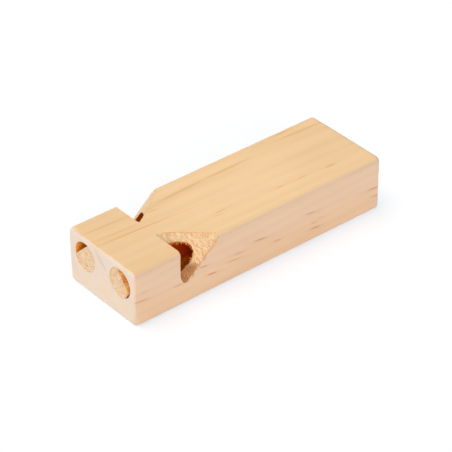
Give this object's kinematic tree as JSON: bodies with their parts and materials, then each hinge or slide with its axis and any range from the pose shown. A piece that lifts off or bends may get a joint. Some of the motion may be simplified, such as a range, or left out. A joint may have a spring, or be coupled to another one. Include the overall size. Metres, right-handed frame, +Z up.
{
  "type": "train whistle",
  "caption": "Rectangular wooden whistle block with side-by-side bores, corner notches with ramped blowing edges, and flat-sided fipple plugs at the mouth end.",
  "frame": {"origin": "middle of the underside, the flat face that the whistle rests on", "axes": "+Y along the block from the mouth end to the closed end, +Z up out of the top face, +X to the player's right, on the high note's side"},
  "size_m": [0.0336, 0.1, 0.02],
  "materials": {
    "pine_block": "bare planed pine, edges sanded round, notches left as sawn",
    "plug_dowel": "bare softwood dowel, sawn ends, one side planed flat"
  },
  "bodies": {
    "root": {"whistle_body": "pine_block", "low_note_plug": "plug_dowel", "high_note_plug": "plug_dowel"}
  },
  "joints": []
}
